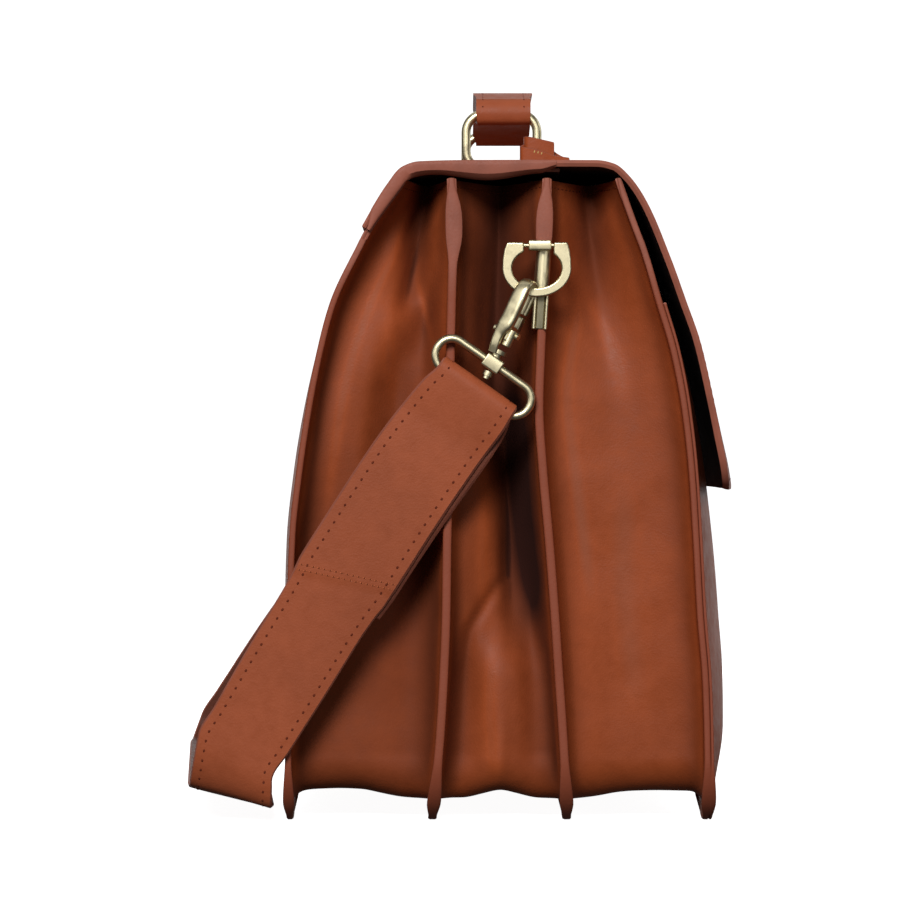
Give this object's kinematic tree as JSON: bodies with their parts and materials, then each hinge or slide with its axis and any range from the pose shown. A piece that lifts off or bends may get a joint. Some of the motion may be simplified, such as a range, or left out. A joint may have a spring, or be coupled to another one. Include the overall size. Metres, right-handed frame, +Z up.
{
  "type": "leather briefcase",
  "caption": "Leather briefcase with folded end gussets, a flap over the front, a carrying handle on rings and a shoulder strap clipped to both ends",
  "frame": {"origin": "under the middle of the whole object, on the surface that it stands on", "axes": "+X along the bag, the flap and front face -Y, +Z up"},
  "size_m": [0.4248, 0.268, 0.349],
  "materials": {
    "leather": "smooth, soft sheen",
    "strap_leather": "matt, smooth",
    "brass": "antique, brushed"
  },
  "bodies": {
    "bag": {"back_panel": "leather", "divider_rear": "leather", "divider_front": "leather", "front_panel": "leather", "front_pocket": "leather", "gusset_rear": "leather", "gusset_middle": "leather", "gusset_front": "leather", "flap": "leather", "handle_tab_near": "leather", "handle_tab_far": "leather", "shoulder_strap": "strap_leather", "flap_clasp": "brass", "strap_post_near": "brass", "strap_post_far": "brass", "d_ring_near": "brass", "d_ring_far": "brass", "hook_near": "brass", "hook_far": "brass", "strap_loop_near": "brass", "strap_loop_far": "brass"},
    "ring_near": {"handle_ring_near": "brass", "key_loop": "leather"},
    "grip": {"handle": "strap_leather"},
    "ring_far": {"handle_ring_far": "brass"},
    "gate_near": {"trigger_near": "brass"},
    "gate_far": {"trigger_far": "brass"}
  },
  "joints": [
    {"name": "handle_sway", "type": "hinge", "parent": "bag", "child": "ring_near", "pos_m": [-0.068, -0.02152, 0.3069], "axis": [0, 1, 0], "range_deg": [-25, 25]},
    {"name": "handle_level", "type": "hinge", "parent": "ring_near", "child": "grip", "pos_m": [-0.068, -0.02152, 0.334], "axis": [0, 1, 0], "range_deg": [-25, 25]},
    {"name": "ring_far_sway", "type": "hinge", "parent": "bag", "child": "ring_far", "pos_m": [0.068, -0.02152, 0.3069], "axis": [0, 1, 0], "range_deg": [-25, 25]},
    {"name": "trigger_near_press", "type": "hinge", "parent": "bag", "child": "gate_near", "pos_m": [-0.20011, -0.02608, 0.22785], "axis": [-0.342, -0.8858, -0.3137], "range_deg": [0, 25], "stiffness_Nm_per_rad": 0.05},
    {"name": "trigger_far_press", "type": "hinge", "parent": "bag", "child": "gate_far", "pos_m": [0.20011, -0.02608, 0.22785], "axis": [-0.342, 0.8858, 0.3137], "range_deg": [0, 25], "stiffness_Nm_per_rad": 0.05}
  ],
  "couplings": [
    {"joint": "handle_level", "follows": "handle_sway", "ratio": -1},
    {"joint": "ring_far_sway", "follows": "handle_sway", "ratio": 1}
  ]
}
